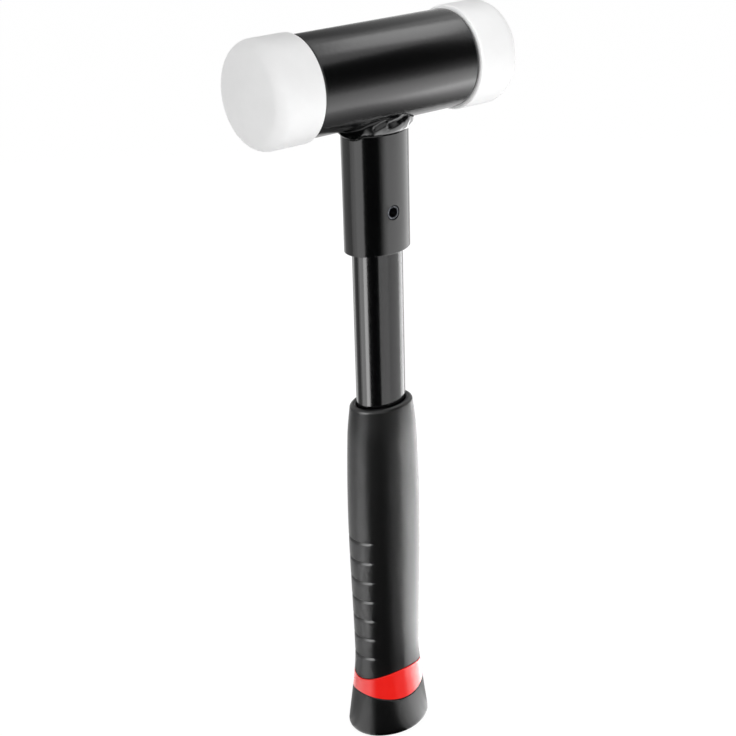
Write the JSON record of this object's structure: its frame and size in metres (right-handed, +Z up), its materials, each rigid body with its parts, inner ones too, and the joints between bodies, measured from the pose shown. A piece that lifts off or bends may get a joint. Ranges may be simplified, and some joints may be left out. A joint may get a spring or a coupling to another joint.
{
  "type": "dead blow hammer",
  "caption": "Recoilless soft-face hammer: steel head tube with loose shot inside, domed white nylon faces, oval tube handle pinned in a welded socket, black rubber grip with a red band.",
  "frame": {"origin": "centre of the butt's flat foot, on the surface that the hammer stands on", "axes": "+Z up the handle to the head, +X along the head from the left striking face to the right one, +Y across the head"},
  "size_m": [0.1164, 0.04, 0.306],
  "materials": {
    "satin_black_paint": "satin black paint on steel",
    "gloss_black_tube": "semi-gloss black coating on steel tube",
    "white_nylon": "white nylon, turned and lightly matt",
    "bright_steel": "bare bright steel",
    "pin_steel": "blued spring steel",
    "red_plastic": "red moulded plastic, satin",
    "black_rubber": "matt black moulded rubber"
  },
  "bodies": {
    "hammer": {"head_tube": "satin_black_paint", "left_striking_face": "white_nylon", "right_striking_face": "white_nylon", "left_chamber_plug": "bright_steel", "right_chamber_plug": "bright_steel", "handle_socket": "satin_black_paint", "socket_weld": "satin_black_paint", "roll_pin": "pin_steel", "handle_tube": "gloss_black_tube", "grip_core": "red_plastic", "grip_sleeve": "black_rubber", "grip_butt": "black_rubber"},
    "shot": {"steel_shot": "bright_steel"}
  },
  "joints": [
    {"name": "shot_slide", "type": "slide", "parent": "hammer", "child": "shot", "axis": [1, 0, 0], "range_m": [-0.005, 0.005]}
  ]
}
